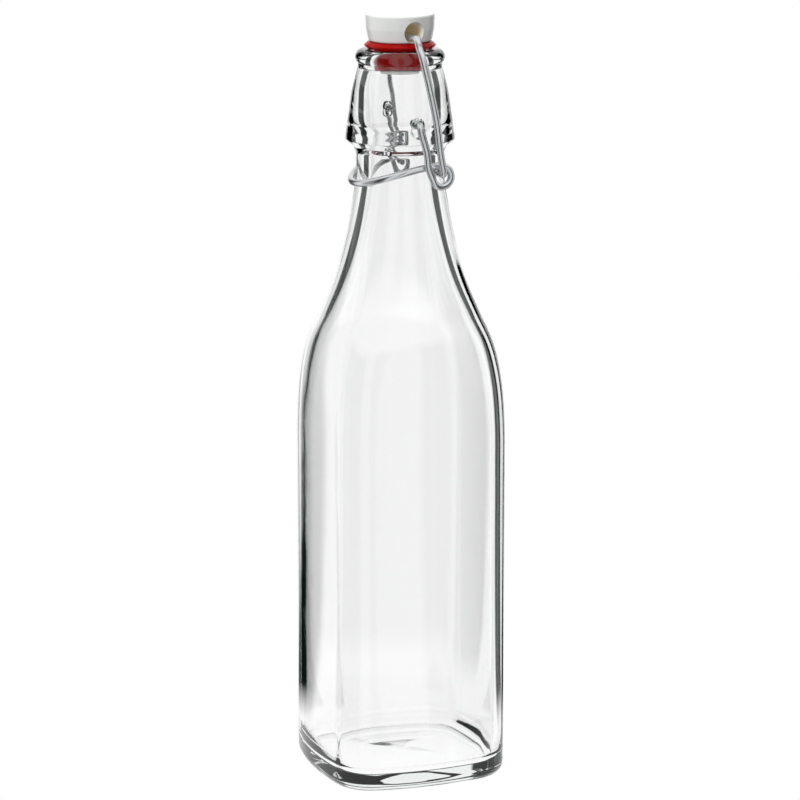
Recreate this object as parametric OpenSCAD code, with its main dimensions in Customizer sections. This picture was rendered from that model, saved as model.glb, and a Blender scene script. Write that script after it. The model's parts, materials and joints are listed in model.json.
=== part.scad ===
// Square clear-glass flip-top bottle: glass, stopper, gasket, wire bail and wire lever.
// Millimetres. Origin at the centre of the base, +Z up, flat faces along X and Y, lever pivot along Y.

/* [Body] */
// side of the square body, flat to flat
body_w = 65; // [50:0.5:85]
// radius the flat sides are bowed to
side_bow_r = 96.5; // [80:0.5:400]
// radius of the four upright corners
corner_r = 14.5; // [6:0.5:20]
// height where the shoulder starts
shoulder_z = 118; // [80:1:170]
// length of the shoulder, from its start to the straight neck
shoulder_len = 89.5; // [70:0.5:130]
// wall of the body
wall = 3.2; // [2:0.1:4.5]
// outer radius of the heel
heel_r = 4; // [2:0.25:8]
// inner radius where the wall meets the floor
inner_heel_r = 4.2; // [3:0.1:10]
// glass under the floor's edge
floor_t = 5.4; // [3:0.1:12]
// height of the hollow under the base
punt_h = 1; // [0.5:0.1:4]

/* [Neck] */
// outer radius of the straight neck
neck_r = 14.75; // [12:0.05:18]
// glass around the straight neck
neck_wall = 4.95; // [3:0.05:6]
// radius of the mouth's bore
bore_r = 9.1; // [7:0.05:11]
// height of the lever's pivot over the start of the neck
pivot_up = 17.5; // [14:0.5:24]
// radius of the collar at its widest
collar_r = 18.3; // [17:0.1:22]
// outer radius of the lip
lip_r = 15; // [13:0.1:17]
// glass around the barrel between the collar and the lip
barrel_wall = 6; // [4:0.1:8]
// radius of the lip's round edge
lip_round = 2.6; // [1.5:0.1:3]
// height of the lip's top over the pivot
lip_up = 23.3; // [20:0.1:28]

/* [Wire] */
// thickness of the wire
wire_d = 2.4; // [1.8:0.1:3]
// gap between a wire pin and its dimple
pin_gap = 0.35; // [0.1:0.05:0.5]
// glass left behind the dimples
dimple_floor = 1.2; // [0.8:0.1:3]
// gap between the hook's pin and the eye
eye_gap = 0.06; // [0.04:0.01:0.3]
// gap between the lever's leg and the collar at its widest
leg_gap = 0.7; // [0.3:0.1:1.5]
// gap between the bail's hook and the lever's leg
hook_gap = 0.2; // [0.1:0.05:0.6]
// gap between the thumb loop and the neck, at the loop's lowest point
loop_gap = 0.06; // [0.04:0.01:1.5]
// centre-line radius of the lever's eyes
eye_r = 3.45; // [3:0.05:5]
// distance of the eyes past the pivot, across
eye_x = 7.76; // [5:0.1:10]
// distance of the eyes below the pivot
eye_down = 17.3; // [15:0.1:20]
// slope at which the thumb loop leaves the eyes
loop_slope = 6.2; // [2:0.1:12]
// how fast the thumb loop steepens away from the eyes
loop_sag = 0.0077; // [0.005:0.0001:0.01]

/* [Stopper] */
// radius of the stopper's top
head_r = 11.6; // [10:0.1:14]
// narrowing of the head toward its underside
head_taper = 1.1; // [0:0.1:2]
// height of the stopper's head
head_h = 9.3; // [8:0.1:14]
// play of the crossbar in its hole
hole_play = 1.75; // [1.6:0.05:2]
// ceramic left under the cross hole
hole_floor = 0.55; // [0.4:0.05:3]
// turn of the stopper about the upright axis
stopper_turn = 6; // [0:1:6]
// radius of the stopper's shank
shank_r = 3.9; // [3:0.1:5]
// gap between the shank's tip and the bore
tip_gap = 2.5; // [1.5:0.05:3]
// height of the shank's tip
tip_h = 2.5; // [2:0.1:4]

/* [Gasket] */
// outer radius of the gasket
gasket_r = 12; // [11:0.1:13]
// thickness of the gasket's rim
gasket_t = 2.5; // [1.5:0.1:4]
// gap between the gasket's plug and the bore
plug_gap = 0.4; // [0.3:0.05:2]
// length of the gasket's plug
plug_h = 5.7; // [4:0.1:8]
// gap between the gasket and what it touches
seat_gap = 0.05; // [0.02:0.01:0.2]

/* [Hidden] */
neck_z = shoulder_z + shoulder_len;
pivot_z = neck_z + pivot_up;
lip_z = pivot_z + lip_up;
wire_r = wire_d / 2;
cut_over = 1;
body_round = square_at(30, body_w, side_bow_r, corner_r);
round_angles = [0, 9, 18, 26, 31, 35, 39, 43, 47, 51, 55, 59, 64, 72, 81];
angles = [for (q = [0:3]) for (a = round_angles) a + 90 * q];
n_round = len(angles);

// outline of the shoulder: share of its length, share of the body's size over the neck's
shoulder_points = [
  [-0.15, 1.000], [0.000, 1.000], [0.156, 0.972], [0.273, 0.908], [0.366, 0.805], [0.465, 0.612],
  [0.580, 0.402], [0.700, 0.235], [0.846, 0.092], [1.000, 0.000], [1.150, 0.000]
];
shoulder_steps = 2;
square_end = 0.95;
join_step = 0.2;
join_start = 0.5;
join_len = 5;
collar_step = 0.8;
barrel_r = collar_r - collar_step;
neck_bore_r = neck_r - neck_wall;
barrel_bore_r = barrel_r - barrel_wall;

coil_gap = 0.1;
leg_y = collar_r + leg_gap + wire_r;
loop_y = leg_y - wire_d - coil_gap;
hook_y = leg_y + wire_d + hook_gap;
dimple_r = wire_r + pin_gap;
dimple_end_y = barrel_bore_r + dimple_floor;
pin_end_gap = 0.5;
pin_end_y = dimple_end_y + pin_end_gap;
pocket_depth = 1.5;
pocket_r = dimple_r + 0.75;
pocket_drop = pocket_r;
eye_seat = eye_r - wire_r - wire_r - eye_gap;
seat_dir = [-0.459, 0.888];
hook_x = eye_x + seat_dir[0] * eye_seat;
hook_down = eye_down - seat_dir[1] * eye_seat;
head_z = lip_z + seat_gap + gasket_t + seat_gap;
hole_r = wire_r + hole_play;
hole_z = head_z + hole_floor + hole_r;
bar_under_gap = 0.65;
hole_drop = hole_play - bar_under_gap;
bar_z = hole_z - hole_drop;
bar_up = bar_z - pivot_z;
tip_r = bore_r - tip_gap;
plug_r = bore_r - plug_gap;
tip_z = lip_z - plug_h - seat_gap - tip_h;
tube_sides = 12;

// which sub-part to draw

function mix(a, b, t) = a + (b - a) * t;
function clamp01(t) = max(0, min(1, t));
function ease(t) = clamp01(t) * clamp01(t) * (3 - 2 * clamp01(t));
function unit(v) = v / norm(v);

// distance from the axis to a bowed square with rounded corners, at angle a
function fold(a) = min(a - 90 * floor(a / 90), 90 - a + 90 * floor(a / 90));
function corner_at(s, b, c) = (-(b - s / 2) + sqrt(2 * pow(b - c, 2) - pow(b - s / 2, 2))) / 2;
function join_turn(s, b, c) = atan2(corner_at(s, b, c), corner_at(s, b, c) + b - s / 2);
function join_angle(s, b, t) = atan2(b * sin(t), b * cos(t) - b + s / 2);
function side_at(f, d, b) = sqrt(b * b - pow(d * sin(f), 2)) - d * cos(f);
function arc_at(k, p, c) = p * k + sqrt(c * c - 2 * p * p + p * p * k * k);
function square_at(a, s, b, c) =
  fold(a) < join_angle(s, b, join_turn(s, b, c))
    ? side_at(fold(a), b - s / 2, b)
    : arc_at(cos(fold(a)) + sin(fold(a)), corner_at(s, b, c), c);

// rings of points: a square one inset from the body, and one between round and square
function ring(radii, z) = [
  for (i = [0:n_round - 1]) [radii[i] * cos(angles[i]), radii[i] * sin(angles[i]), z]
];
function inset(off) = [for (a = angles) square_at(a, body_w - 2 * off, side_bow_r - off, corner_r - off)];
function between(r, t, off) =
  let (q = inset(off), full = body_round - off)
  [for (v = q) r * mix(1, v / full, t)];
function squareness(u) = 1 - ease(u / square_end);
function wall_at(f) = mix(neck_wall, wall, f);

shoulder_curve = curve(shoulder_points, shoulder_steps);
outer_rings = concat(
  [ring(inset(heel_r) * 0.35, punt_h)],
  [ring(inset(heel_r) * 0.74, punt_h)],
  [ring(inset(heel_r) * 0.80, 0)],
  [for (a = [0:30:60]) ring(inset(heel_r * (1 - sin(a))), heel_r * (1 - cos(a)))],
  [ring(inset(0), heel_r)],
  [for (p = shoulder_curve)
    ring(between(mix(neck_r, body_round, p[1]), squareness(p[0]), 0), shoulder_z + shoulder_len * p[0])],
  [ring([for (a = angles) neck_r - join_step], neck_z - join_start)],
  [ring([for (a = angles) neck_r - join_step], neck_z + join_len)]
);
inner_rings = concat(
  [ring([for (a = angles) neck_bore_r + join_step], neck_z + join_len)],
  [ring([for (a = angles) neck_bore_r + join_step], neck_z - join_start)],
  [for (i = [len(shoulder_curve) - 1:-1:0]) let (p = shoulder_curve[i])
    ring(between(mix(neck_r, body_round, p[1]) - wall_at(p[1]), squareness(p[0]), wall),
      shoulder_z + shoulder_len * p[0])],
  [ring(inset(wall), floor_t + inner_heel_r)],
  [for (a = [60:-30:0])
    ring(inset(wall + inner_heel_r * (1 - sin(a))), floor_t + inner_heel_r * (1 - cos(a)))],
  [ring(inset(wall + inner_heel_r) * 0.5, floor_t + punt_h * 0.8)]
);

// closed skin over a run of rings
function skin_faces(n_rings, n) = concat(
  [[for (i = [0:n - 1]) i]],
  [for (k = [0:n_rings - 2]) for (i = [0:n - 1])
    [k * n + i, (k + 1) * n + i, (k + 1) * n + (i + 1) % n, k * n + (i + 1) % n]],
  [[for (i = [n - 1:-1:0]) (n_rings - 1) * n + i]]
);
function flat(lists) = [for (l = lists) for (v = l) v];
module skin(rings) {
  polyhedron(points = flat(rings), faces = skin_faces(len(rings), len(rings[0])), convexity = 6);
}

// tube along a path, its frame carried from point to point
function heading(p, i) =
  i == 0 ? unit(p[1] - p[0]) : i == len(p) - 1 ? unit(p[i] - p[i - 1]) : unit(p[i + 1] - p[i - 1]);
function across(v, t) = unit(v - (v * t) * t);
function tube_rings(p, r, first) = [
  for (i = 0, n = across(first, heading(p, 0)); i < len(p);
       i = i + 1, n = i < len(p) ? across(n, heading(p, i)) : n)
    let (b = cross(heading(p, i), n))
    [for (k = [0:tube_sides - 1])
      let (a = 360 * (k + 0.5) / tube_sides)
      p[i] + r * cos(a) * n + r * sin(a) * b]
];
function blend4(a, b, c, d, t) =
  0.5 * (2 * b + (c - a) * t + (2 * a - 5 * b + 4 * c - d) * t * t + (3 * b - a - 3 * c + d) * t * t * t);
function curve(p, steps) = [
  for (i = [1:len(p) - 3]) for (s = [0:steps - 1])
    blend4(p[i - 1], p[i], p[i + 1], p[i + 2], s / steps)
];
function mirrored(p) = [for (i = [len(p) - 1:-1:0]) [p[i][0], -p[i][1], p[i][2]]];
module tube(p, r, first) {
  skin(tube_rings(p, r, first));
}

// lever: leg, eye and half of the thumb loop on the front side
leg_in = 1.56;
leg_short = 2.65;
leg_top_x = eye_x - eye_r - leg_in;
leg_top_down = eye_down - leg_short;
tube_r = wire_r - 0.02;
pin_bend = 2;
to_eye = [eye_x - leg_top_x, leg_top_down - eye_down];
eye_dist = norm(to_eye);
eye_in = atan2(to_eye[1], to_eye[0]) - asin(eye_r / eye_dist) - 90;
eye_out = 90 + loop_slope;
eye_turn = eye_out + 360 - (eye_in < 0 ? eye_in + 360 : eye_in);
eye_start = eye_out - eye_turn;
loop_from = [eye_x + eye_r * cos(eye_out), -loop_y];
loop_level = -eye_down + eye_r * sin(eye_out);
// size of the neck's flare where the loop ends, and the loop that clears it
function loop_drop(d) = tan(loop_slope) * d - loop_sag * d * d;
loop_end_z = pivot_z + loop_level + loop_drop(-neck_r - wire_d - loop_from[0]);
flare_from = shoulder_points[len(shoulder_points) - 3];
flare_t = clamp01(((loop_end_z - shoulder_z) / shoulder_len - flare_from[0]) / (1 - flare_from[0]));
flare = blend4(shoulder_points[len(shoulder_points) - 4][1], flare_from[1], 0, 0, flare_t);
loop_r = mix(neck_r, body_round, flare) + loop_gap + wire_r;
loop_meet = atan2(loop_from[1], loop_from[0]) - acos(loop_r / norm(loop_from));
function loop_point(x, y) = [x, y, loop_level + loop_drop(x - loop_from[0])];
lever_leg = [
  [-0.2, -leg_y, 0.5], [0.25, -leg_y, -pin_bend - 0.6],
  [0.67 * leg_top_x, -leg_y, -0.53 * leg_top_down], [0.89 * leg_top_x, -leg_y, -0.78 * leg_top_down],
  [leg_top_x, -leg_y, -leg_top_down], [leg_top_x + 0.7, -leg_y, -leg_top_down - 1.5]
];
lever_half = concat(
  [[0, -barrel_r - 0.1, 0]],
  [for (a = [0:18:90]) [0.1 * sin(a), -leg_y + pin_bend * (1 - sin(a)), -pin_bend * (1 - cos(a))]],
  curve(lever_leg, 3),
  [[leg_top_x, -leg_y, -leg_top_down]],
  [for (k = [0:17]) let (a = eye_start + eye_turn * k / 17)
    [eye_x + eye_r * cos(a), mix(-leg_y, -loop_y, k / 17), -eye_down + eye_r * sin(a)]],
  [loop_point(mix(loop_from[0], loop_r * cos(loop_meet), 0.5), mix(-loop_y, loop_r * sin(loop_meet), 0.5))],
  [for (k = [0:9]) let (a = mix(loop_meet, -172, k / 9)) loop_point(loop_r * cos(a), loop_r * sin(a))]
);
lever_path = concat(lever_half, mirrored(lever_half));

// bail: half of it, from the crossbar to the hook
bail_bend = 2.6;
hook_bend = 1.9;
bail_side_gap = 1.1;
bail_top_y = lip_r + bail_side_gap + wire_r;
bar_end_y = bail_top_y - bail_bend - 0.6;
// share of the way to the hook across, distance in from the hook's plane, share of the way down
bail_bow = [
  [0.14, 3, 0.167], [0.425, 0.4, 0.433], [0.63, -0.3, 0.62], [0.774, -0.3, 0.808], [0.884, -0.1, 0.905]
];
bail_leg = concat(
  [[0, -bail_top_y, bar_up], [0.25, -bail_top_y, bar_up - bail_bend]],
  [for (p = bail_bow) [hook_x * p[0], p[1] - hook_y, mix(bar_up, -hook_down, p[2])]],
  [[hook_x - 0.3, -hook_y, -hook_down + hook_bend], [hook_x, -hook_y, -hook_down]]
);
bail_half = concat(
  [[0, -bar_end_y + 0.8, bar_up]],
  [for (a = [0:18:72])
    [0.25 * (1 - cos(a)), -bail_top_y + bail_bend * (1 - sin(a)), bar_up - bail_bend * (1 - cos(a))]],
  curve(bail_leg, 4),
  [for (a = [0:18:90])
    [
      hook_x - 0.3 * (1 - sin(a)), -hook_y + hook_bend * (1 - cos(a)),
      -hook_down + hook_bend * (1 - sin(a))
    ]],
  [[hook_x, -hook_y + hook_bend + 0.7, -hook_down]]
);

module pin_y(x, z, y0, y1, r) {
  translate([x, min(y0, y1), z])
    rotate([-90, 0, 0])
      cylinder(h = abs(y1 - y0), r = r, $fn = 48);
}

// outside of the neck, collar and barrel: radius, height over the pivot
collar_points = [
  [neck_r, -11.2], [neck_r + 1.1, -8.8], [collar_r - 0.3, -7.1], [collar_r, -6.6], [barrel_r, 0]
];
// the barrel's bow: share of the way in to the lip, share of the way up to the groove
barrel_bow = [0.54, 0.55];
waist_drop = 9;
widen_drop = 13;
groove_h = 0.9;
groove_depth = 0.9;
groove_edge = 1.8;
// rounding of the gasket's rim
rim_round = 0.8;
// the mouth's rounding leaves this much of the lip flat under the gasket's rim
lip_flat = 0.1;
mouth_round = min(1.5, min(lip_r - lip_round, gasket_r - rim_round) - bore_r - lip_flat);

module finish_ring() {
  ring_z = lip_z - lip_round;
  groove_z = ring_z - lip_round - groove_h;
  rotate_extrude($fn = 96)
    polygon(concat(
      [[neck_bore_r, neck_z], [neck_r, neck_z]],
      [for (p = collar_points) [p[0], pivot_z + p[1]]],
      [[mix(barrel_r, lip_r, barrel_bow[0]), mix(pivot_z, groove_z, barrel_bow[1])]],
      [[lip_r - groove_depth + 0.55, groove_z - groove_edge], [lip_r - groove_depth, groove_z]],
      [for (a = [-50:20:90]) [lip_r - lip_round * (1 - cos(a)), ring_z + lip_round * sin(a)]],
      [for (a = [90:30:180])
        [bore_r + mouth_round * (1 + cos(a)), lip_z - mouth_round * (1 - sin(a))]],
      [[bore_r, lip_z - plug_h], [barrel_bore_r, lip_z - widen_drop]],
      [[barrel_bore_r, pivot_z], [neck_bore_r, pivot_z - waist_drop]]
    ));
}

// dimple for one pin, with a shallow pocket that runs down from it
module dimple(side) {
  pin_y(0, pivot_z, side * dimple_end_y, side * (collar_r + cut_over), dimple_r);
  for (down = [0, pocket_drop])
    pin_y(0, pivot_z - down, side * (barrel_r - pocket_depth), side * (collar_r + cut_over), pocket_r);
}

module bottle() {
  color([0.86, 0.92, 0.91, 0.5])
    difference() {
      union() {
        skin(concat(outer_rings, inner_rings));
        finish_ring();
      }
      dimple(1);
      dimple(-1);
    }
}

// rounding of the stopper's edges and of the gasket's plug
head_low_round = 1;
head_round = 0.8;
tip_low_round = 1;
tip_round = 0.4;
plug_round = 0.7;
// the head's bow: share of the way out, share of the way up
head_bow = [0.75, 0.45];
// share of a rounding at which its middle point sits
bevel = 0.3;

module stopper() {
  low_r = head_r - head_taper;
  top_z = head_z + head_h;
  tip_top = tip_z + tip_h;
  color([0.93, 0.94, 0.93])
    rotate([0, 0, stopper_turn])
      difference() {
        union() {
          rotate_extrude($fn = 96)
            polygon([
              [0, head_z], [low_r - head_low_round, head_z],
              [low_r - head_low_round * bevel, head_z + head_low_round * bevel],
              [low_r, head_z + head_low_round],
              [mix(low_r, head_r, head_bow[0]), head_z + head_h * head_bow[1]], [head_r, top_z - head_round],
              [head_r - head_round * bevel, top_z - head_round * bevel],
              [head_r - head_round, top_z], [0, top_z]
            ]);
          translate([0, 0, tip_z + tip_h / 2])
            cylinder(h = head_z - tip_z, r = shank_r, $fn = 64);
          rotate_extrude($fn = 64)
            polygon([
              [0, tip_z], [tip_r - tip_low_round, tip_z],
              [tip_r - tip_low_round * bevel, tip_z + tip_low_round * bevel], [tip_r, tip_z + tip_low_round],
              [tip_r, tip_top - tip_round], [tip_r - tip_round, tip_top], [0, tip_top]
            ]);
        }
        pin_y(0, hole_z, -head_r - cut_over, head_r + cut_over, hole_r);
      }
}

module gasket() {
  inner = shank_r + seat_gap;
  low = lip_z + seat_gap;
  top = low + gasket_t;
  plug_low = tip_z + tip_h + seat_gap;
  rim_in = rim_round * bevel;
  color([0.72, 0.06, 0.05])
    rotate_extrude($fn = 96)
      polygon([
        [inner, plug_low], [plug_r - plug_round, plug_low],
        [plug_r - plug_round * bevel, plug_low + plug_round],
        [plug_r, low], [gasket_r - rim_round, low], [gasket_r - rim_in, low + rim_round * rim_round],
        [gasket_r, low + gasket_t * 0.45], [gasket_r, low + gasket_t * 0.6],
        [gasket_r - rim_in, top - rim_round * rim_round], [gasket_r - rim_round, top], [inner, top]
      ]);
}

// length of the hook's pin past the middle of the thumb loop's wire
hook_past = 1.6;

module bail() {
  color([0.72, 0.73, 0.74])
    union() {
      pin_y(0, bar_z, -bar_end_y, bar_end_y, wire_r);
      for (side = [1, -1]) {
        pin_y(hook_x, pivot_z - hook_down, side * (leg_y + wire_r / 2), side * (loop_y - hook_past), wire_r);
        translate([0, 0, pivot_z])
          tube(side == 1 ? mirrored(bail_half) : bail_half, tube_r, [1, 0, 0]);
      }
    }
}

module lever() {
  color([0.66, 0.67, 0.68])
    union() {
      for (side = [1, -1])
        pin_y(0, pivot_z, side * pin_end_y, side * (barrel_r + pin_end_gap), wire_r);
      translate([0, 0, pivot_z])
        tube(lever_path, tube_r, [1, 0, 0]);
    }
}

bottle();
stopper();
gasket();
bail();
lever();
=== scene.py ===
"""Looks of a square clear-glass flip-top bottle: glass, stopper, gasket, bail and lever."""

import json
import math

import bpy
import numpy as np
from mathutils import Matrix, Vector


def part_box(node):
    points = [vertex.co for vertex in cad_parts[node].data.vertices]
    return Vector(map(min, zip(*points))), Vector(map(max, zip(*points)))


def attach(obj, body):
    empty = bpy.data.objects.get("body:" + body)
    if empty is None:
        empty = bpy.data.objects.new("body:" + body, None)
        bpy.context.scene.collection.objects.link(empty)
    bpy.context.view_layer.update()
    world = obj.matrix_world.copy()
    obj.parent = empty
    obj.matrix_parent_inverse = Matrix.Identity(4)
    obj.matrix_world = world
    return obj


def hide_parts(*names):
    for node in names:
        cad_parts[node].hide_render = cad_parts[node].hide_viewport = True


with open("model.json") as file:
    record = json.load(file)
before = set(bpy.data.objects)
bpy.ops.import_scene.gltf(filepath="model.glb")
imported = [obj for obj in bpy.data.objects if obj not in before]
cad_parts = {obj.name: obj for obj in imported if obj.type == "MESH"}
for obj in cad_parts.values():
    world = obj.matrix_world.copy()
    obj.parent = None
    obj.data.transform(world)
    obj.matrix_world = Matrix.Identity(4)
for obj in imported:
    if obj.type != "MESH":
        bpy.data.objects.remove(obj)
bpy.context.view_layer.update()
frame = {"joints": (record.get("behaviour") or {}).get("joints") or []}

MM = 0.001


# ---------------------------------------------------------------- sizes, in millimetres

def node_box(node):
    """Lowest and highest corner of a CAD node, in millimetres."""
    low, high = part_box(node)
    return np.array(low) / MM, np.array(high) / MM


def joint_place(name):
    """Where a joint's axis crosses the middle plane, in millimetres."""
    joint = next(j for j in frame["joints"] if j["name"] == name)
    return np.array(joint["pos_m"]) / MM


bottle_low, bottle_high = node_box("bottle")
head_low, head_high = node_box("stopper")
gasket_high = node_box("gasket")[1]
pivot = joint_place("lever_pivot")
hook = joint_place("bail_pivot")
bar = joint_place("stopper_pivot")

# the glass
body_w = bottle_high[0] - bottle_low[0]
lip_z = bottle_high[2]
side_bow_r = 96.5
corner_r = 14.5
wall = 3.2
heel_r = 4.0
inner_heel_r = 4.2
floor_t = 5.4
floor_dome = 0.8
punt_h = 1.0
neck_r = 14.75
neck_wall = 4.95
bore_r = 9.1
mouth_round = 1.5
collar_r = 18.3
collar_step = 0.8
barrel_r = collar_r - collar_step
barrel_wall = 6.0
neck_bore_r = neck_r - neck_wall
barrel_bore_r = barrel_r - barrel_wall
lip_r = 15.0
lip_round = 2.6
groove_h = 0.9
groove_depth = 0.9
pivot_up = 17.5
neck_z = pivot[2] - pivot_up
shoulder_len = 89.5
shoulder_z = neck_z - shoulder_len
# share of the shoulder's height where it has become quite round
square_end = 0.95
# how far under the lip the bore is fully wide, and how far under the pivot it is narrow again
widen_drop = 13.0
waist_drop = 9.0

# the wires
wire_r = 1.2
leg_gap = 0.7
leg_y = collar_r + leg_gap + wire_r
coil_gap = 0.1
loop_y = leg_y - 2 * wire_r - coil_gap
hook_gap = 0.2
hook_y = leg_y + 2 * wire_r + hook_gap
loop_gap = 0.4
loop_r = neck_r + loop_gap + wire_r
loop_slope = math.radians(6.2)
# how fast the slope flattens with each millimetre round the neck
loop_sag = 0.0077
eye_r = 3.45
eye_x = 7.76
eye_down = 17.3
pin_gap = 0.35
dimple_r = wire_r + pin_gap
dimple_floor = 1.2
dimple_end_y = barrel_bore_r + dimple_floor
pocket_drop = 2.3

# the stopper and its gasket
head_r = 11.6
head_taper = 1.1
seat_gap = 0.05
head_z = gasket_high[2] + seat_gap
hole_play = 1.75
hole_r = wire_r + hole_play
hole_floor = 0.55
hole_z = head_z + hole_floor + hole_r
shank_r = 3.9
tip_z = head_low[2]
tip_h = 2.5
tip_gap = 2.5
tip_r = bore_r - tip_gap
stopper_turn = math.radians(6)
gasket_r = gasket_high[0]
rim_low = lip_z + seat_gap
rim_high = gasket_high[2]
plug_gap = 0.4
plug_r = bore_r - plug_gap


# ---------------------------------------------------------------- outlines

def mix(a, b, t):
    return a + (b - a) * t


def ease(t):
    t = np.clip(t, 0.0, 1.0)
    return t * t * (3 - 2 * t)


def curve_through(points, steps):
    """Smooth run through the points, leaving out the first and the last."""
    p = np.array(points, float)
    t = (np.arange(steps) / steps)[:, None]
    runs = []
    for i in range(1, len(p) - 2):
        a, b, c, d = p[i - 1 : i + 3]
        square, cube = 2 * a - 5 * b + 4 * c - d, 3 * b - a - 3 * c + d
        runs.append(0.5 * (2 * b + (c - a) * t + square * t**2 + cube * t**3))
    return np.vstack(runs + [p[-2:-1]])


def rounded(corners, steps=6):
    """Open outline through (radius, height, rounding) corners, each rounded to an arc."""
    out = []
    for i, (x, z, r) in enumerate(corners):
        here = np.array([x, z])
        if r == 0 or i in (0, len(corners) - 1):
            out.append(here)
            continue
        before = np.array(corners[i - 1][:2]) - here
        after = np.array(corners[i + 1][:2]) - here
        u, v = before / np.linalg.norm(before), after / np.linalg.norm(after)
        half = math.acos(float(np.clip(u @ v, -1, 1))) / 2
        room = 0.49 * np.linalg.norm(before), 0.49 * np.linalg.norm(after)
        cut = min(r / math.tan(half), *room)
        start, end = here + u * cut, here + v * cut
        for t in np.linspace(0, 1, steps + 1):
            out.append((1 - t) ** 2 * start + 2 * t * (1 - t) * here + t**2 * end)
    return np.array(out)


def bowed_square(angles, side, bow, corner):
    """Distance from the axis to a square with bowed sides and rounded corners."""
    fold = np.abs((angles + math.pi / 4) % (math.pi / 2) - math.pi / 4)
    d = bow - side / 2
    c = (-d + math.sqrt(2 * (bow - corner) ** 2 - d * d)) / 2
    turn = math.atan2(c, c + d)
    meet = math.atan2(bow * math.sin(turn), bow * math.cos(turn) - d)
    on_side = np.sqrt(bow**2 - (d * np.sin(fold)) ** 2) - d * np.cos(fold)
    k = np.cos(fold) + np.sin(fold)
    on_corner = c * k + np.sqrt(np.maximum(corner**2 - 2 * c * c + (c * k) ** 2, 0))
    return np.where(fold < meet, on_side, on_corner)


# ---------------------------------------------------------------- mesh making

def add_mesh(name, verts, faces, body, replaced=None, uv=None):
    mesh = bpy.data.meshes.new(name)
    mesh.from_pydata([tuple(v) for v in np.asarray(verts) * MM], [], faces)
    mesh.polygons.foreach_set("use_smooth", [True] * len(mesh.polygons))
    if uv is not None:
        layer = mesh.uv_layers.new(name="along")
        loops = np.empty(len(mesh.loops), int)
        mesh.loops.foreach_get("vertex_index", loops)
        layer.data.foreach_set("uv", np.asarray(uv)[loops].ravel())
    piece = bpy.data.objects.new(name, mesh)
    bpy.context.scene.collection.objects.link(piece)
    if body:
        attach(piece, body)
    if replaced:
        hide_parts(replaced)
    return piece


def skin_faces(n_rings, n):
    """Quads between neighbouring rings, with both ends closed."""
    faces = [tuple(range(n))[::-1]]
    for k in range(n_rings - 1):
        for i in range(n):
            j = (i + 1) % n
            faces.append((k * n + i, k * n + j, (k + 1) * n + j, (k + 1) * n + i))
    faces.append(tuple((n_rings - 1) * n + i for i in range(n)))
    return faces


def turned(name, outline, n, body, replaced=None):
    """A turned piece: its outline runs from the axis round to the axis."""
    angles = np.arange(n) * 2 * math.pi / n
    verts = [(r * math.cos(a), r * math.sin(a), z) for r, z in outline for a in angles]
    return add_mesh(name, verts, skin_faces(len(outline), n), body, replaced)


def tube(name, path, radius, body, replaced=None, sides=28):
    """A round wire along a path, with domed ends."""
    path = np.asarray(path, float)
    keep = np.r_[True, np.linalg.norm(np.diff(path, axis=0), axis=1) > 0.02]
    path = path[keep]
    heading = np.gradient(path, axis=0)
    heading /= np.linalg.norm(heading, axis=1)[:, None]
    across = np.cross(heading[0], (0.3, 0.2, 0.9))
    length = np.r_[0, np.cumsum(np.linalg.norm(np.diff(path, axis=0), axis=1))]
    turns = np.arange(sides) * 2 * math.pi / sides
    verts, uv = [], []

    def add_ring(centre, t, r, along):
        nonlocal across
        across = across - (across @ t) * t
        across /= np.linalg.norm(across)
        other = np.cross(t, across)
        for k, a in enumerate(turns):
            verts.append(centre + r * (math.cos(a) * across + math.sin(a) * other))
            uv.append((2 * radius * k / sides, along))

    dome = [(0.25, 0.30), (0.55, 0.22), (0.82, 0.10)]
    for share, back in dome:
        start = path[0] - heading[0] * back * radius * 0.9
        add_ring(start, heading[0], radius * share, 0)
    for p, t, s in zip(path, heading, length):
        add_ring(p, t, radius, s)
    for share, back in dome[::-1]:
        end = path[-1] + heading[-1] * back * radius * 0.9
        add_ring(end, heading[-1], radius * share, length[-1])
    return add_mesh(name, verts, skin_faces(len(path) + 6, sides), body, replaced, uv)


def cut_away(piece, cutters):
    """Cuts the cutters out of a piece for good, then drops them."""
    for cutter in cutters:
        cut = piece.modifiers.new("cut", "BOOLEAN")
        cut.operation = "DIFFERENCE"
        cut.solver = "EXACT"
        cut.object = cutter
    bpy.context.view_layer.update()
    depsgraph = bpy.context.evaluated_depsgraph_get()
    result = bpy.data.meshes.new_from_object(piece.evaluated_get(depsgraph))
    piece.modifiers.clear()
    piece.data = result
    for cutter in cutters:
        bpy.data.objects.remove(cutter)
    result.polygons.foreach_set("use_smooth", [True] * len(result.polygons))
    result.set_sharp_from_angle(angle=math.radians(32))


def crosswise(name, outline, n, place, side):
    """A cutter turned about the Y axis: its outline is (radius, distance along Y)."""
    angles = np.arange(n) * 2 * math.pi / n
    verts = [
        (place[0] + r * math.cos(a), side * y, place[1] - side * r * math.sin(a))
        for r, y in outline for a in angles
    ]
    return add_mesh(name, verts, skin_faces(len(outline), n), None)


# ---------------------------------------------------------------- materials

def linear(hex_colour):
    """sRGB hex to linear RGBA."""
    rgb = [int(hex_colour[i : i + 2], 16) / 255 for i in (1, 3, 5)]
    return [c / 12.92 if c <= 0.04045 else ((c + 0.055) / 1.055) ** 2.4 for c in rgb] + [1.0]


def add_node(tree, kind, settings=None, links=None, **values):
    """Adds a node, sets its properties, its inputs' values and its inputs' links."""
    node = tree.nodes.new(kind)
    for key, value in (settings or {}).items():
        setattr(node, key, value)
    for key, value in values.items():
        node.inputs[key.replace("_", " ")].default_value = value
    for key, source in (links or {}).items():
        tree.links.new(source, node.inputs[key])
    return node


def new_material(name):
    material = bpy.data.materials.new(name)
    material.use_nodes = True
    tree = material.node_tree
    tree.nodes.clear()
    return material, tree


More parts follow.
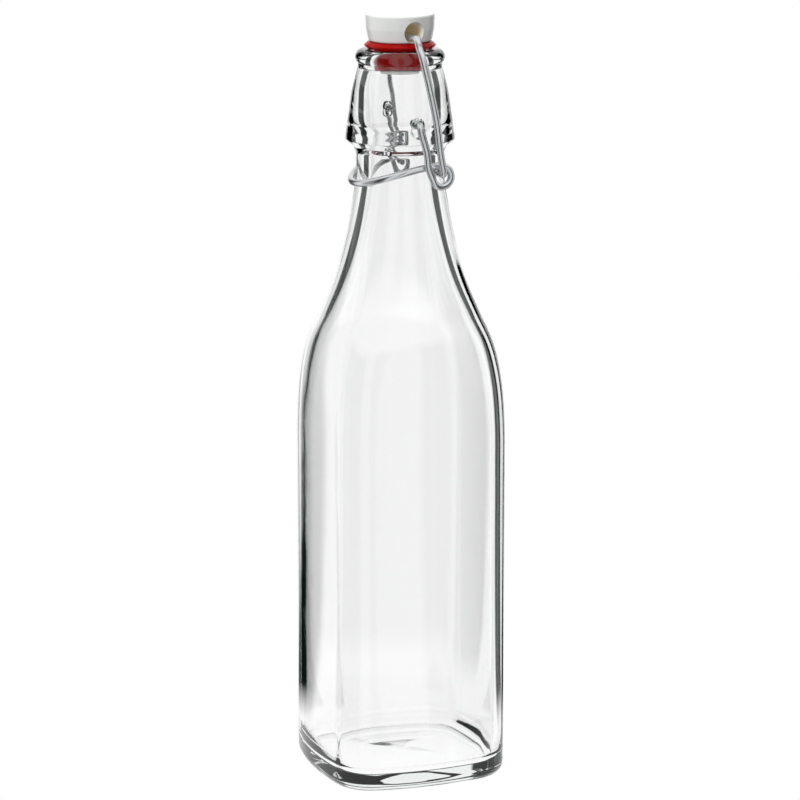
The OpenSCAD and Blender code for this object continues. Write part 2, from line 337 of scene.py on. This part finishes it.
def soda_lime_glass():
    """Clear container glass: colourless face-on, sea green where light runs a long way inside."""
    material, tree = new_material("soda_lime_glass")
    place = add_node(tree, "ShaderNodeTexCoord")
    # waves a centimetre or two long that blowing leaves in a bottle's walls
    waves = add_node(
        tree, "ShaderNodeTexNoise", links={"Vector": place.outputs["Object"]},
        Scale=60.0, Detail=1.0,
    )
    bump = add_node(
        tree, "ShaderNodeBump", links={"Height": waves.outputs["Fac"]},
        Strength=0.04, Distance=0.001,
    )
    shader = add_node(
        tree, "ShaderNodeBsdfPrincipled", links={"Normal": bump.outputs["Normal"]},
        Base_Color=linear("#ffffff"), Roughness=0.0, IOR=1.52,
    )
    shader.inputs["Transmission Weight"].default_value = 1.0
    absorb = add_node(tree, "ShaderNodeVolumeAbsorption", Color=linear("#8fb5a8"), Density=3.0)
    add_node(
        tree, "ShaderNodeOutputMaterial",
        links={"Surface": shader.outputs["BSDF"], "Volume": absorb.outputs["Volume"]},
    )
    return material


def glazed_porcelain():
    """White glazed porcelain: a soft, even white under a smooth satin glaze."""
    material, tree = new_material("glazed_porcelain")
    place = add_node(tree, "ShaderNodeTexCoord")
    # the glaze pools in faint patches about 4 mm across
    pool = add_node(
        tree, "ShaderNodeTexNoise", links={"Vector": place.outputs["Object"]},
        Scale=250.0, Detail=2.0,
    )
    tone = add_node(tree, "ShaderNodeValToRGB", links={"Fac": pool.outputs["Fac"]})
    tone.color_ramp.elements[0].color = linear("#eceeec")
    tone.color_ramp.elements[1].color = linear("#f6f7f5")
    bump = add_node(
        tree, "ShaderNodeBump", links={"Height": pool.outputs["Fac"]},
        Strength=0.05, Distance=0.0004,
    )
    shader = add_node(
        tree, "ShaderNodeBsdfPrincipled",
        links={"Base Color": tone.outputs["Color"], "Normal": bump.outputs["Normal"]},
        Roughness=0.24, IOR=1.5,
    )
    add_node(tree, "ShaderNodeOutputMaterial", links={"Surface": shader.outputs["BSDF"]})
    return material


def clay_with_painted_shade_and_glow():
    """Unglazed fired clay inside the stopper's cross hole: matt with a sandy grain, its tan partly
    the bare clay's own colour and partly painted shade deep in the hole, with a painted glow.
    """
    material, tree = new_material("clay_with_painted_shade_and_glow")
    place = add_node(tree, "ShaderNodeTexCoord")
    # sandy grain of about 0.3 mm
    grain = add_node(
        tree, "ShaderNodeTexNoise", links={"Vector": place.outputs["Object"]},
        Scale=3000.0, Detail=3.0,
    )
    tone = add_node(tree, "ShaderNodeValToRGB", links={"Fac": grain.outputs["Fac"]})
    # tan partly the bare clay's own colour and partly painted shade for the hole's deep, unlit wall
    tone.color_ramp.elements[0].color = linear("#e0cba6")
    tone.color_ramp.elements[1].color = linear("#f3e4c8")
    bump = add_node(
        tree, "ShaderNodeBump", links={"Height": grain.outputs["Fac"]},
        Strength=0.3, Distance=0.0002,
    )
    shader = add_node(
        tree, "ShaderNodeBsdfPrincipled",
        links={"Base Color": tone.outputs["Color"], "Normal": bump.outputs["Normal"]},
        Roughness=0.7,
    )
    # painted glow that stands in for daylight coming through the thin white body around the hole
    shader.inputs["Emission Color"].default_value = linear("#8f8570")
    shader.inputs["Emission Strength"].default_value = 0.2
    add_node(tree, "ShaderNodeOutputMaterial", links={"Surface": shader.outputs["BSDF"]})
    return material


def moulded_rubber():
    """Red moulded rubber: deep red with a smooth skin and a very fine moulding texture."""
    material, tree = new_material("moulded_rubber")
    place = add_node(tree, "ShaderNodeTexCoord")
    # moulding texture of about 0.5 mm
    skin = add_node(
        tree, "ShaderNodeTexNoise", links={"Vector": place.outputs["Object"]},
        Scale=1800.0, Detail=2.0,
    )
    tone = add_node(tree, "ShaderNodeValToRGB", links={"Fac": skin.outputs["Fac"]})
    tone.color_ramp.elements[0].color = linear("#960502")
    tone.color_ramp.elements[1].color = linear("#b40a04")
    bump = add_node(
        tree, "ShaderNodeBump", links={"Height": skin.outputs["Fac"]},
        Strength=0.08, Distance=0.0002,
    )
    shader = add_node(
        tree, "ShaderNodeBsdfPrincipled",
        links={"Base Color": tone.outputs["Color"], "Normal": bump.outputs["Normal"]},
        Roughness=0.18, IOR=1.52,
    )
    shader.inputs["Specular IOR Level"].default_value = 0.08
    add_node(tree, "ShaderNodeOutputMaterial", links={"Surface": shader.outputs["BSDF"]})
    return material


def drawn_steel_wire():
    """Bright drawn steel: a mirror-like skin with fine lengthwise lines that the die leaves."""
    material, tree = new_material("drawn_steel_wire")
    place = add_node(tree, "ShaderNodeTexCoord")
    # die lines 0.15 mm apart across the wire and about 20 mm long
    lines = add_node(
        tree, "ShaderNodeMapping", links={"Vector": place.outputs["UV"]}, Scale=(6.5, 0.05, 1.0),
    )
    scratch = add_node(
        tree, "ShaderNodeTexNoise", links={"Vector": lines.outputs["Vector"]},
        Scale=1.0, Detail=3.0,
    )
    tone = add_node(tree, "ShaderNodeValToRGB", links={"Fac": scratch.outputs["Fac"]})
    tone.color_ramp.elements[0].color = linear("#bcc0c2")
    tone.color_ramp.elements[1].color = linear("#eceeef")
    rough = add_node(
        tree, "ShaderNodeMapRange", links={"Value": scratch.outputs["Fac"]},
        To_Min=0.16, To_Max=0.34,
    )
    bump = add_node(
        tree, "ShaderNodeBump", links={"Height": scratch.outputs["Fac"]},
        Strength=0.12, Distance=0.0001,
    )
    shader = add_node(
        tree, "ShaderNodeBsdfPrincipled",
        links={
            "Base Color": tone.outputs["Color"], "Roughness": rough.outputs["Result"],
            "Normal": bump.outputs["Normal"],
        },
        Metallic=1.0,
    )
    add_node(tree, "ShaderNodeOutputMaterial", links={"Surface": shader.outputs["BSDF"]})
    return material


# ---------------------------------------------------------------- the glass bottle

# share of the way up the shoulder, and how much of the way out from the neck to the body
shoulder_points = [
    (-0.15, 1.000), (0.000, 1.000), (0.156, 0.972), (0.273, 0.908), (0.366, 0.805),
    (0.465, 0.612), (0.580, 0.402), (0.700, 0.235), (0.846, 0.092), (1.000, 0.000),
    (1.150, 0.000),
]
round_points = 288
angles = np.arange(round_points) * 2 * math.pi / round_points
# the body's distance from the axis a third of the way round to the next side
body_round = float(
    bowed_square(np.array([math.radians(30)]), body_w, side_bow_r, corner_r)[0]
)


def inset(off):
    """The body's outline, moved in by a distance."""
    return bowed_square(angles, body_w - 2 * off, side_bow_r - off, corner_r - off)


def between(r, squareness, off):
    """An outline between round and the body's own, of about radius r."""
    return r * mix(1.0, inset(off) / (body_round - off), squareness)


def shoulder_rings(inside):
    """The body's outline turning into the round neck, outside or inside."""
    rings = []
    for along, share in curve_through(shoulder_points, 9):
        r = mix(neck_r, body_round, share)
        squareness = 1 - float(ease(along / square_end))
        off = 0.0
        if inside:
            r -= mix(neck_r - neck_bore_r, wall, share)
            off = wall
        rings.append((between(r, squareness, off), mix(shoulder_z, neck_z, along)))
    return rings


def base_rings():
    """Hollow under the base, the rim it stands on, and the heel."""
    rim_share, rim_lift = 0.8, 0.02
    rings = [
        (inset(heel_r) * g, punt_h * (1 - ease(g / rim_share)))
        for g in (0.02, 0.15, 0.3, 0.45, 0.6, 0.7)
    ]
    for g in (0.80, 0.87, 0.93, 0.99):
        rings.append((inset(heel_r) * g, rim_lift))
    for a in np.radians(np.arange(0, 90, 10)):
        rings.append((inset(heel_r * (1 - math.sin(a))), heel_r * (1 - math.cos(a))))
    return rings


def floor_rings():
    """The inner heel, then the floor inside the bottle, a little higher in the middle."""
    rings = []
    for a in np.radians(np.arange(80, -1, -10)):
        off = wall + inner_heel_r * (1 - math.sin(a))
        rings.append((inset(off), floor_t + inner_heel_r * (1 - math.cos(a))))
    for g in (0.85, 0.7, 0.5, 0.3, 0.15, 0.02):
        rings.append((inset(wall + inner_heel_r) * g, floor_t + floor_dome * (1 - ease(g))))
    return rings


def finish_outline():
    """Neck, collar, barrel, groove, lip and the bore, from the outside round to the inside."""
    ring_z = lip_z - lip_round
    groove_z = ring_z - lip_round - groove_h
    pz = pivot[2]
    bead_start = math.radians(50)
    lip_low = (
        lip_r - lip_round * (1 - math.cos(bead_start)), ring_z - lip_round * math.sin(bead_start)
    )
    outer = rounded([
        (neck_r, neck_z + 0.5, 0), (neck_r, pz - 11.2, 3.0), (neck_r + 1.1, pz - 8.8, 2.0),
        (collar_r, pz - 6.85, 0.8), (mix(collar_r, barrel_r, 0.1), pz - 5.4, 4.0),
        (barrel_r, pz, 30.0), (mix(barrel_r, lip_r, 0.54), mix(pz, groove_z, 0.55), 30.0),
        (lip_r - 0.35, groove_z - 1.8, 4.0), (lip_r - groove_depth, groove_z, 0.8), (*lip_low, 0),
    ])
    lip = [
        (lip_r - lip_round * (1 - math.cos(a)), ring_z + lip_round * math.sin(a))
        for a in np.radians(np.arange(-40, 91, 10))
    ]
    mouth = [
        (bore_r + mouth_round * (1 + math.cos(a)), lip_z - mouth_round + mouth_round * math.sin(a))
        for a in np.radians(np.arange(90, 181, 10))
    ]
    inner = curve_through([
        (bore_r, lip_z - 1.0), (bore_r, lip_z - 3.0), (bore_r + 0.05, lip_z - 5.0),
        (10.4, lip_z - 8.0), (barrel_bore_r, lip_z - widen_drop),
        (barrel_bore_r + 0.2, pz + 5.0), (barrel_bore_r, pz - 1.5),
        (mix(barrel_bore_r, neck_bore_r, 0.55), pz - 5.0), (neck_bore_r, pz - waist_drop),
        (neck_bore_r, neck_z + 3), (neck_bore_r, neck_z),
    ], 6)
    return [*outer, *lip, *mouth, *inner]


def straight(first, last, steps):
    """Rings spaced evenly between two others."""
    shares = np.linspace(0, 1, steps + 2)[1:-1]
    return [(mix(first[0], last[0], t), mix(first[1], last[1], t)) for t in shares]


def make_bottle():
    """One closed skin, from under the base up the outside and down the inside, then the dimples."""
    outer = base_rings() + [(inset(0.0), heel_r)]
    shoulder = shoulder_rings(False)
    finish = [(np.full(round_points, r), z) for r, z in finish_outline()]
    inner = shoulder_rings(True)[::-1]
    floor = floor_rings()
    rings = (
        outer + straight(outer[-1], shoulder[0], 20) + shoulder
        + finish + inner + straight(inner[-1], floor[0], 20) + floor
    )
    verts = [
        (r * math.cos(a), r * math.sin(a), z) for radii, heights in rings
        for r, z, a in zip(radii, np.broadcast_to(heights, angles.shape), angles)
    ]
    faces = skin_faces(len(rings), round_points)
    glass = add_mesh("bottle_glass", verts, faces, "glass", "bottle")
    cutters = []
    for side in (1, -1):
        hole = rounded([
            (0.01, dimple_end_y, 0), (dimple_r, dimple_end_y, 0.5),
            (dimple_r, barrel_r - 1.6, 0.4), (dimple_r + 0.4, barrel_r - 1.0, 0.4),
            (dimple_r + 1.1, barrel_r + 0.4, 0), (dimple_r + 1.1, barrel_r + 3.0, 0),
            (0.01, barrel_r + 3.0, 0),
        ])
        cutters.append(crosswise("pin_hole", hole, 48, (0, pivot[2]), side))
        pocket = rounded([
            (0.01, barrel_r - 1.5, 0), (2.3, barrel_r - 1.5, 1.0), (2.6, barrel_r + 0.4, 0),
            (2.6, barrel_r + 3.1, 0), (0.01, barrel_r + 3.1, 0),
        ])
        cutters.append(crosswise("pocket", pocket, 48, (0, pivot[2] - pocket_drop), side))
    cut_away(glass, cutters)
    return glass


# ---------------------------------------------------------------- stopper and gasket

def make_stopper():
    """The turned head, shank and tip, with the flared cross hole cut through the head."""
    top = head_high[2]
    top_dip = 0.1
    low_r = head_r - head_taper
    outline = rounded([
        (0.01, tip_z, 0), (tip_r, tip_z, 1.0), (tip_r, tip_z + tip_h, 0.5),
        (shank_r, tip_z + tip_h, 0.3), (shank_r, head_z, 0), (low_r, head_z, 1.2),
        (mix(low_r, head_r, 0.78), mix(head_z, top, 0.45), 3.0), (head_r, top, 0.9),
        (head_r - 2.0, top - top_dip, 1.0), (0.01, top - top_dip, 0),
    ])
    stopper = turned("stopper_body", outline, 192, "closure", "stopper")
    reach = head_r + 2
    flare = rounded([
        (0.01, -reach, 0), (hole_r + 1.6, -reach, 0), (hole_r + 0.55, -low_r, 1.2),
        (hole_r, -low_r + 1.3, 1.5), (hole_r, low_r - 1.3, 1.5), (hole_r + 0.55, low_r, 1.2),
        (hole_r + 1.6, reach, 0), (0.01, reach, 0),
    ])
    hole = crosswise("cross_hole", flare, 64, (0, hole_z), 1)
    cut_away(stopper, [hole])
    stopper.data.materials.append(glazed_porcelain())
    stopper.data.materials.append(clay_with_painted_shade_and_glow())
    # the glaze stops a little way into the cross hole; deeper in, the hole takes the clay's tan,
    # partly painted shade, and its painted glow
    white_mouth_depth = 1.0
    for face in stopper.data.polygons:
        x, y, z = face.center / MM
        if math.hypot(x, z - hole_z) < hole_r + 0.12 and abs(y) < low_r - white_mouth_depth:
            face.material_index = 1
    cos_turn, sin_turn = math.cos(stopper_turn), math.sin(stopper_turn)
    turn = np.array([[cos_turn, -sin_turn], [sin_turn, cos_turn]])
    for v in stopper.data.vertices:
        v.co.xy = Vector(turn @ np.array(v.co.xy))
    return stopper


def make_gasket():
    """A lens-shaped rim that is pressed on the lip, and a plug that goes into the mouth."""
    low = tip_z + tip_h + seat_gap
    inner = shank_r + seat_gap
    middle = mix(rim_low, rim_high, 0.5)
    edge = 0.15
    outline = rounded([
        (inner, low, 0.0), (plug_r - 0.5, low, 0.5), (plug_r, low + 0.9, 0.6),
        (plug_r, rim_low, 0.2), (gasket_r - 1.4, rim_low, 0.6), (gasket_r, middle - edge, 0.35),
        (gasket_r, middle + edge, 0.35), (gasket_r - 1.2, rim_high, 0.6), (inner, rim_high, 0),
    ])
    n = 192
    turns = np.arange(n) * 2 * math.pi / n
    verts = [(r * math.cos(a), r * math.sin(a), z) for r, z in outline for a in turns]
    faces = skin_faces(len(outline), n)[1:-1]
    last = (len(outline) - 1) * n
    faces += [(last + i, last + (i + 1) % n, (i + 1) % n, i) for i in range(n)]
    gasket = add_mesh("gasket_rubber", verts, faces, "closure", "gasket")
    gasket.data.set_sharp_from_angle(angle=math.radians(40))
    return gasket


# ---------------------------------------------------------------- the wires

def mirrored(path):
    """The same path on the other side, run the other way."""
    return np.asarray(path)[::-1] * np.array([1, -1, 1])


def lever_half():
    """From the pin in its dimple, round the pivot: the leg, the eye, half of the thumb loop."""
    leg_top_x, leg_top_down = eye_x - eye_r - 1.56, eye_down - 2.65
    bend = 2.0
    pin = [(0, -dimple_end_y - 0.7, 0), (0, -leg_y + bend + 0.4, 0)]
    corner = [
        (0.1 * math.sin(a), -leg_y + bend * (1 - math.sin(a)), -bend * (1 - math.cos(a)))
        for a in np.radians(np.arange(0, 91, 9))
    ]
    leg = curve_through([
        (-0.2, -leg_y, 0.5), (0.25, -leg_y, -bend - 0.6),
        (0.67 * leg_top_x, -leg_y, -0.53 * leg_top_down),
        (0.89 * leg_top_x, -leg_y, -0.78 * leg_top_down), (leg_top_x, -leg_y, -leg_top_down),
        (leg_top_x + 0.7, -leg_y, -leg_top_down - 1.5),
    ], 6)
    to_eye = np.array([eye_x - leg_top_x, leg_top_down - eye_down])
    heading = math.atan2(to_eye[1], to_eye[0])
    eye_in = heading - math.asin(eye_r / np.linalg.norm(to_eye)) - math.pi / 2
    eye_out = math.pi / 2 + loop_slope
    eye = []
    for t in np.linspace(0, 1, 60):
        a = mix(eye_in, eye_out, t)
        x, z = eye_x + eye_r * math.cos(a), -eye_down + eye_r * math.sin(a)
        eye.append((x, mix(-leg_y, -loop_y, t), z))
    start = np.array([eye[-1][0], -loop_y])
    level = eye[-1][2]
    meet = math.atan2(start[1], start[0]) - math.acos(loop_r / np.linalg.norm(start))
    touch = loop_r * np.array([math.cos(meet), math.sin(meet)])
    plan = [mix(start, touch, t) for t in np.linspace(0.12, 0.9, 8)]
    round_neck = np.linspace(meet, -math.pi, 60)
    plan += [loop_r * np.array([math.cos(a), math.sin(a)]) for a in round_neck]
    loop = [
        (x, y, level + math.tan(loop_slope) * (x - start[0]) - loop_sag * (x - start[0]) ** 2)
        for x, y in plan
    ]
    return smoothed(np.array([*pin, *corner, *leg, *eye, *loop]))


def smoothed(path, passes=3):
    """Takes the kinks out where two stretches of a path meet."""
    for _ in range(passes):
        path[1:-1] = (path[:-2] + 2 * path[1:-1] + path[2:]) / 4
    return path


def make_lever():
    half = lever_half()
    path = np.vstack([half, mirrored(half)[1:]]) + np.array([0, 0, pivot[2]])
    return tube("lever_wire", path, wire_r, "lever", "lever")


def bail_half():
    """From the middle of the crossbar: the bend, the bowed leg, the hook through the eye."""
    top_bend, hook_bend = 2.6, 1.9
    top_y = lip_r + 2.3
    # share of the way out to the hook, distance in from the hook, share of the way down
    bow = [
        (0.14, 3, 0.167), (0.425, 0.4, 0.433), (0.63, -0.3, 0.62), (0.774, -0.3, 0.808),
        (0.884, -0.1, 0.905),
    ]
    crossbar = [(0, -y, bar[2]) for y in np.linspace(0, top_y - top_bend - 0.5, 12)]
    corner = [
        (
            0.25 * (1 - math.cos(a)), -top_y + top_bend * (1 - math.sin(a)),
            bar[2] - top_bend * (1 - math.cos(a)),
        )
        for a in np.radians(np.arange(0, 82, 9))
    ]
    leg = curve_through([
        (0, -top_y, bar[2]), (0.25, -top_y, bar[2] - top_bend),
        *[(hook[0] * x, inward - hook_y, mix(bar[2], hook[2], down)) for x, inward, down in bow],
        (hook[0] - 0.3, -hook_y, hook[2] + hook_bend), (hook[0], -hook_y, hook[2]),
    ], 8)
    turn = [
        (
            hook[0] - 0.3 * (1 - math.sin(a)), -hook_y + hook_bend * (1 - math.cos(a)),
            hook[2] + hook_bend * (1 - math.sin(a)),
        )
        for a in np.radians(np.arange(9, 91, 9))
    ]
    inward_y = np.linspace(hook_y - hook_bend - 0.4, loop_y - 1.3, 6)
    end = [(hook[0], -y, hook[2]) for y in inward_y]
    return smoothed(np.array([*crossbar, *corner, *leg, *turn, *end]))


def make_bail():
    half = bail_half()
    path = np.vstack([mirrored(half), half[1:]])
    return tube("bail_wire", path, wire_r, "bail", "bail")


# ---------------------------------------------------------------- stage, light and camera

def maths(tree, operation, first, second=None):
    """A sum on one or two values, each a number or another node's output."""
    node = add_node(tree, "ShaderNodeMath", settings={"operation": operation})
    for place, value in enumerate((first, second)):
        if isinstance(value, (int, float)):
            node.inputs[place].default_value = value
        elif value is not None:
            tree.links.new(value, node.inputs[place])
    return node.outputs["Value"]


def ramp(tree, value, stops):
    """Straight-line greys between (place, grey) stops."""
    node = add_node(tree, "ShaderNodeValToRGB", links={"Fac": value})
    stretch = node.color_ramp.elements
    stretch.remove(stretch[1])
    for at, grey in stops:
        stop = stretch.new(at)
        stop.color = (grey, grey, grey, 1.0)
    stretch.remove(stretch[0])
    return node.outputs["Color"]


# bearings are shares of a quarter turn from the way ahead or behind, each with its grey,
# where ahead is the way the camera looks
dark_gaps = [(0.35, 1.0), (0.40, 0.0), (0.68, 0.0), (0.74, 1.0)]
front_strips = [(0.10, 0.4), (0.13, 1.0), (0.36, 1.0), (0.40, 0.4)]
left_gap_shift = 0.065
through_grey = 0.8
inside_dimming = 0.85
# how steep light is, from 0 when level to 1 when upright
steep = [(0.4, 0.0), (0.55, 1.0)]
# metres from the bottle's axis
near_floor = [(0.07, 1.0), (0.11, 0.0)]


def room_tone(tree, direction, open_part):
    """White all round but for dark gaps either side of ahead and behind, which the glass shows."""
    turned_room = add_node(
        tree, "ShaderNodeMapping", settings={"vector_type": "VECTOR"}, links={"Vector": direction},
        Rotation=(0, 0, -math.radians(camera_turn)),
    )
    parts = add_node(tree, "ShaderNodeSeparateXYZ", links={"Vector": turned_room.outputs["Vector"]})
    across, ahead = (maths(tree, "ABSOLUTE", parts.outputs[axis]) for axis in "XY")
    bearing = maths(tree, "DIVIDE", maths(tree, "ARCTAN2", across, ahead), math.pi / 2)
    # the gap on the left stands a little nearer to the way ahead
    on_left = maths(tree, "LESS_THAN", parts.outputs["X"], 0.0)
    bearing = maths(tree, "ADD", bearing, maths(tree, "MULTIPLY", on_left, left_gap_shift))
    gaps = ramp(tree, bearing, dark_gaps)
    path = add_node(tree, "ShaderNodeLightPath")
    # light through both walls hardly shows the gaps, so the glass is clear from every side
    both_walls = maths(tree, "GREATER_THAN", path.outputs["Transmission Depth"], 2.5)
    unmirrored = maths(tree, "LESS_THAN", path.outputs["Glossy Depth"], 0.5)
    through = maths(tree, "MULTIPLY", both_walls, unmirrored)
    gaps = maths(tree, "MAXIMUM", gaps, maths(tree, "MULTIPLY", through, through_grey))
    # mirrored from the front, the room is dim but for two tall strips
    strips = ramp(tree, bearing, front_strips)
    front = maths(tree, "LESS_THAN", parts.outputs["Y"], 0.0)
    mirrored = maths(tree, "MINIMUM", path.outputs["Glossy Depth"], 1.0)
    mirrored_front = maths(tree, "MULTIPLY", front, mirrored)
    # what comes back from inside the glass is dimmer still, so the red plug stays red behind it
    inside = maths(tree, "MINIMUM", path.outputs["Transmission Depth"], 1.0)
    kept = maths(tree, "SUBTRACT", 1.0, maths(tree, "MULTIPLY", inside, inside_dimming))
    strips = maths(tree, "MULTIPLY", strips, kept)
    dimmer = add_node(
        tree, "ShaderNodeMapRange", links={"Value": mirrored_front, "To Max": strips}, To_Min=1.0,
    )
    closed_part = maths(tree, "MULTIPLY", gaps, dimmer.outputs["Result"])
    level = maths(tree, "MAXIMUM", closed_part, open_part(tree, parts))
    tone = add_node(tree, "ShaderNodeMix", settings={"data_type": "RGBA"}, links={"Factor": level})
    tone.inputs["A"].default_value = linear("#0c1614")
    tone.inputs["B"].default_value = linear("#ffffff")
    return tone.outputs["Result"]


def overhead_opening(tree, parts):
    """The gaps close toward the ceiling."""
    return ramp(tree, maths(tree, "ABSOLUTE", parts.outputs["Z"]), steep)


def nearby_opening(tree, parts):
    """The floor is white near the bottle."""
    squares = [maths(tree, "POWER", parts.outputs[axis], 2.0) for axis in "XY"]
    return ramp(tree, maths(tree, "SQRT", maths(tree, "ADD", *squares)), near_floor)


def seen_white(tree, path, tone):
    """The eye sees plain white, and everything else sees the tone."""
    seen = add_node(
        tree, "ShaderNodeMix", settings={"data_type": "RGBA"},
        links={"Factor": path.outputs["Is Camera Ray"], "A": tone},
    )
    seen.inputs["B"].default_value = linear("#ffffff")
    return seen.outputs["Result"]


def make_floor():
    bpy.ops.mesh.primitive_plane_add(size=8.0, location=(0, 0, -0.0002))
    floor = bpy.context.object
    floor.name = "floor"
    material, tree = new_material("pale_floor")
    place = add_node(tree, "ShaderNodeTexCoord")
    path = add_node(tree, "ShaderNodeLightPath")
    # throws little light up on matt surfaces
    level = add_node(
        tree, "ShaderNodeMapRange", links={"Value": path.outputs["Is Diffuse Ray"]},
        To_Min=1.0, To_Max=0.3,
    )
    colour = seen_white(tree, path, room_tone(tree, place.outputs["Object"], nearby_opening))
    glow = add_node(
        tree, "ShaderNodeEmission", links={"Color": colour, "Strength": level.outputs["Result"]},
    )
    add_node(tree, "ShaderNodeOutputMaterial", links={"Surface": glow.outputs["Emission"]})
    floor.data.materials.append(material)


def make_surround():
    world = bpy.data.worlds.new("soft_surround")
    bpy.context.scene.world = world
    world.use_nodes = True
    tree = world.node_tree
    tree.nodes.clear()
    place = add_node(tree, "ShaderNodeTexCoord")
    path = add_node(tree, "ShaderNodeLightPath")
    # matt surfaces get less of the room, so the lamps shape them
    level = add_node(
        tree, "ShaderNodeMapRange", links={"Value": path.outputs["Is Diffuse Ray"]},
        To_Min=1.0, To_Max=0.55,
    )
    colour = seen_white(tree, path, room_tone(tree, place.outputs["Generated"], overhead_opening))
    glow = add_node(
        tree, "ShaderNodeBackground", links={"Color": colour, "Strength": level.outputs["Result"]},
    )
    add_node(tree, "ShaderNodeOutputWorld", links={"Surface": glow.outputs["Background"]})


def make_light(name, place, aim, size, power):
    light = bpy.data.lights.new(name, "AREA")
    light.shape = "RECTANGLE"
    light.size, light.size_y = size
    light.energy = power
    lamp = bpy.data.objects.new(name, light)
    lamp.location = place
    lamp.rotation_euler = (Vector(aim) - Vector(place)).to_track_quat("-Z", "Y").to_euler()
    # shapes the matt pieces only, so the glass and the wires mirror nothing but the room
    lamp.visible_glossy = False
    lamp.visible_transmission = False
    bpy.context.scene.collection.objects.link(lamp)


camera_turn = -19.91
camera_tilt = 12.555
camera_away = 1.15627
camera_height = 0.38609
camera_lens = 156.86


def make_camera():
    camera = bpy.data.cameras.new("camera")
    camera.lens = camera_lens
    camera.sensor_width = 36
    holder = bpy.data.objects.new("camera", camera)
    turn = math.radians(camera_turn)
    holder.location = (math.sin(turn) * camera_away, -math.cos(turn) * camera_away, camera_height)
    holder.rotation_euler = (math.radians(90 - camera_tilt), 0, turn)
    bpy.context.scene.collection.objects.link(holder)
    bpy.context.scene.camera = holder


# ---------------------------------------------------------------- making it

make_camera()
make_surround()
make_floor()
make_light("key", (-1.25, -0.75, 0.95), (0, 0, 0.25), (0.6, 0.6), 13)
make_light("overhead", (0.0, 0.1, 1.3), (0, 0, 0.25), (0.6, 0.6), 5)
bpy.context.scene.view_settings.view_transform = "Standard"

glass = make_bottle()
glass.data.materials.append(soda_lime_glass())
stopper = make_stopper()
gasket = make_gasket()
gasket.data.materials.append(moulded_rubber())
steel = drawn_steel_wire()
lever = make_lever()
lever.data.materials.append(steel)
bail = make_bail()
bail.data.materials.append(steel)
